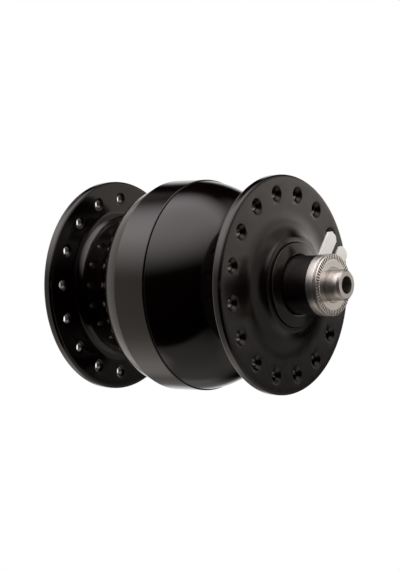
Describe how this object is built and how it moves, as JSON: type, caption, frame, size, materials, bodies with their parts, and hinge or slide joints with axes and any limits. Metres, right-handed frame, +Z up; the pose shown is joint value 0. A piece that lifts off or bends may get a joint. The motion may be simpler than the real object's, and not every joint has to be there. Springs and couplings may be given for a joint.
{
  "type": "hub dynamo",
  "caption": "Bicycle front hub with a claw-pole generator inside its black barrel shell, spoke flanges, side terminals and a hollow quick-release axle.",
  "frame": {"origin": "on the axle's centre line, midway between the two locknut faces", "axes": "+Y along the axle, away from the terminal end; +X forward; +Z up"},
  "size_m": [0.0648, 0.109, 0.0648],
  "materials": {
    "black_anodised": "glossy black anodised",
    "axle_steel": "turned, satin",
    "plated_steel": "nickel plated, satin",
    "soft_iron": "bare",
    "bearing_steel": "ground",
    "spring_steel": "phosphated",
    "magnet": "nickel plated",
    "copper_wire": "enamelled",
    "tinned_blades": "tinned",
    "sleeve_plastic": "matt black",
    "bobbin_plastic": "moulded",
    "seal_rubber": "matt"
  },
  "bodies": {
    "axle_assembly": {"axle": "axle_steel", "stator_core": "soft_iron", "left_claw_plate": "soft_iron", "right_claw_plate": "soft_iron", "coil_bobbin": "bobbin_plastic", "coil_winding": "copper_wire", "stator_nut": "plated_steel", "lead_wires": "copper_wire", "left_bearing_inner_ring": "bearing_steel", "right_bearing_inner_ring": "bearing_steel", "terminal_sleeve": "sleeve_plastic", "terminal_blades": "tinned_blades", "insulating_washer": "sleeve_plastic", "right_locknut": "plated_steel", "left_spacer": "black_anodised", "left_locknut": "plated_steel"},
    "hub_shell": {"left_shell": "black_anodised", "right_shell": "black_anodised", "shell_seal": "seal_rubber", "yoke_ring": "soft_iron", "magnets": "magnet", "left_bearing_outer_ring": "bearing_steel", "right_bearing_outer_ring": "bearing_steel", "left_bearing_seals": "seal_rubber", "right_bearing_seals": "seal_rubber", "left_circlip": "spring_steel", "right_circlip": "spring_steel", "left_dust_cap": "black_anodised", "right_dust_cap": "black_anodised"},
    "left_cage": {"left_bearing_cage": "bobbin_plastic", "left_bearing_balls": "bearing_steel"},
    "right_cage": {"right_bearing_cage": "bobbin_plastic", "right_bearing_balls": "bearing_steel"}
  },
  "joints": [
    {"name": "shell_spin", "type": "hinge", "parent": "axle_assembly", "child": "hub_shell", "pos_m": [0, 0, 0], "axis": [0, 1, 0], "continuous": true},
    {"name": "left_cage_spin", "type": "hinge", "parent": "axle_assembly", "child": "left_cage", "pos_m": [0, 0.0315, 0], "axis": [0, 1, 0], "continuous": true},
    {"name": "right_cage_spin", "type": "hinge", "parent": "axle_assembly", "child": "right_cage", "pos_m": [0, -0.0315, 0], "axis": [0, 1, 0], "continuous": true}
  ],
  "couplings": [
    {"joint": "left_cage_spin", "follows": "shell_spin", "ratio": 0.5972},
    {"joint": "right_cage_spin", "follows": "shell_spin", "ratio": 0.5972}
  ]
}
